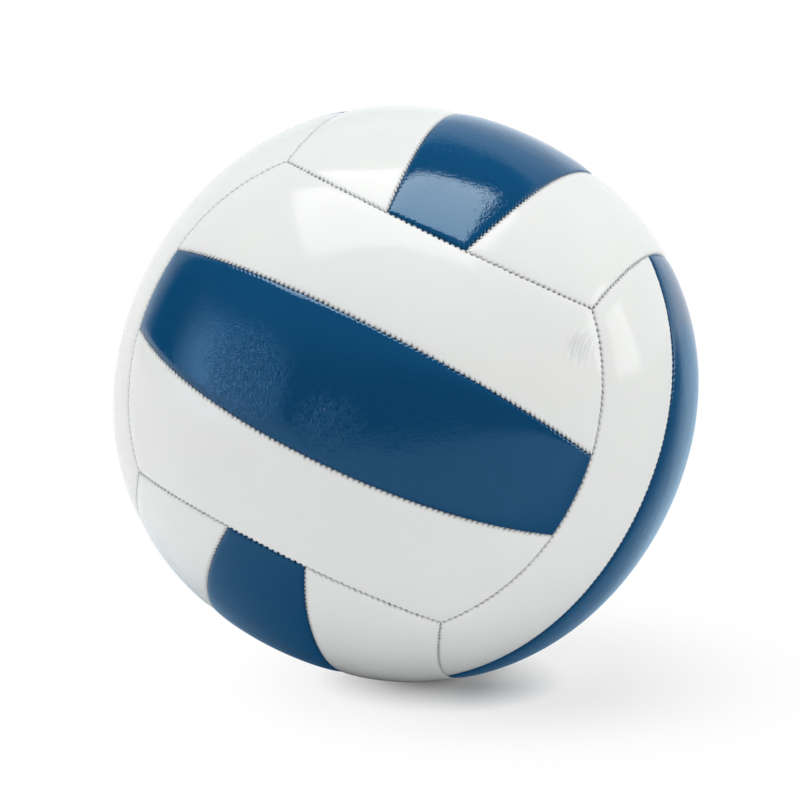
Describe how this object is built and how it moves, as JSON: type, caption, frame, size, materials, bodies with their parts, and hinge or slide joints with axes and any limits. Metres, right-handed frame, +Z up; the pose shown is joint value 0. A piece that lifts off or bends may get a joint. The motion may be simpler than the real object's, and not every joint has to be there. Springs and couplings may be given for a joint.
{
  "type": "volleyball",
  "caption": "Inflated ball sewn from long curved strip panels, laid in parallel groups that each lie across their neighbours, with an inflation valve flush in a panel.",
  "frame": {"origin": "centre of the ball", "axes": "+Z up as the ball lies on the floor; the front face looks along -Y"},
  "size_m": [0.21, 0.21, 0.21],
  "materials": {
    "white_skin": "glossy, fine grain",
    "blue_skin": "glossy, fine grain",
    "foam": "closed-cell foam",
    "lining": "woven cloth",
    "thread": "twisted thread",
    "bladder": "satin",
    "valve_rubber": "matt"
  },
  "bodies": {
    "root": {"front_upper_skin": "white_skin", "front_middle_skin": "blue_skin", "front_lower_skin": "white_skin", "back_upper_skin": "white_skin", "back_middle_skin": "blue_skin", "back_lower_skin": "white_skin", "right_upper_skin": "white_skin", "right_middle_skin": "blue_skin", "right_lower_skin": "white_skin", "left_upper_skin": "white_skin", "left_middle_skin": "blue_skin", "left_lower_skin": "white_skin", "top_upper_skin": "white_skin", "top_middle_skin": "blue_skin", "top_lower_skin": "white_skin", "bottom_upper_skin": "white_skin", "bottom_middle_skin": "blue_skin", "bottom_lower_skin": "white_skin", "front_upper_foam": "foam", "front_middle_foam": "foam", "front_lower_foam": "foam", "back_upper_foam": "foam", "back_middle_foam": "foam", "back_lower_foam": "foam", "right_upper_foam": "foam", "right_middle_foam": "foam", "right_lower_foam": "foam", "left_upper_foam": "foam", "left_middle_foam": "foam", "left_lower_foam": "foam", "top_upper_foam": "foam", "top_middle_foam": "foam", "top_lower_foam": "foam", "bottom_upper_foam": "foam", "bottom_middle_foam": "foam", "bottom_lower_foam": "foam", "front_upper_lining": "lining", "front_middle_lining": "lining", "front_lower_lining": "lining", "back_upper_lining": "lining", "back_middle_lining": "lining", "back_lower_lining": "lining", "right_upper_lining": "lining", "right_middle_lining": "lining", "right_lower_lining": "lining", "left_upper_lining": "lining", "left_middle_lining": "lining", "left_lower_lining": "lining", "top_upper_lining": "lining", "top_middle_lining": "lining", "top_lower_lining": "lining", "bottom_upper_lining": "lining", "bottom_middle_lining": "lining", "bottom_lower_lining": "lining", "strip_seam_thread": "thread", "edge_seam_thread": "thread", "bladder": "bladder", "valve_housing": "valve_rubber", "valve_plug": "valve_rubber"}
  },
  "joints": []
}
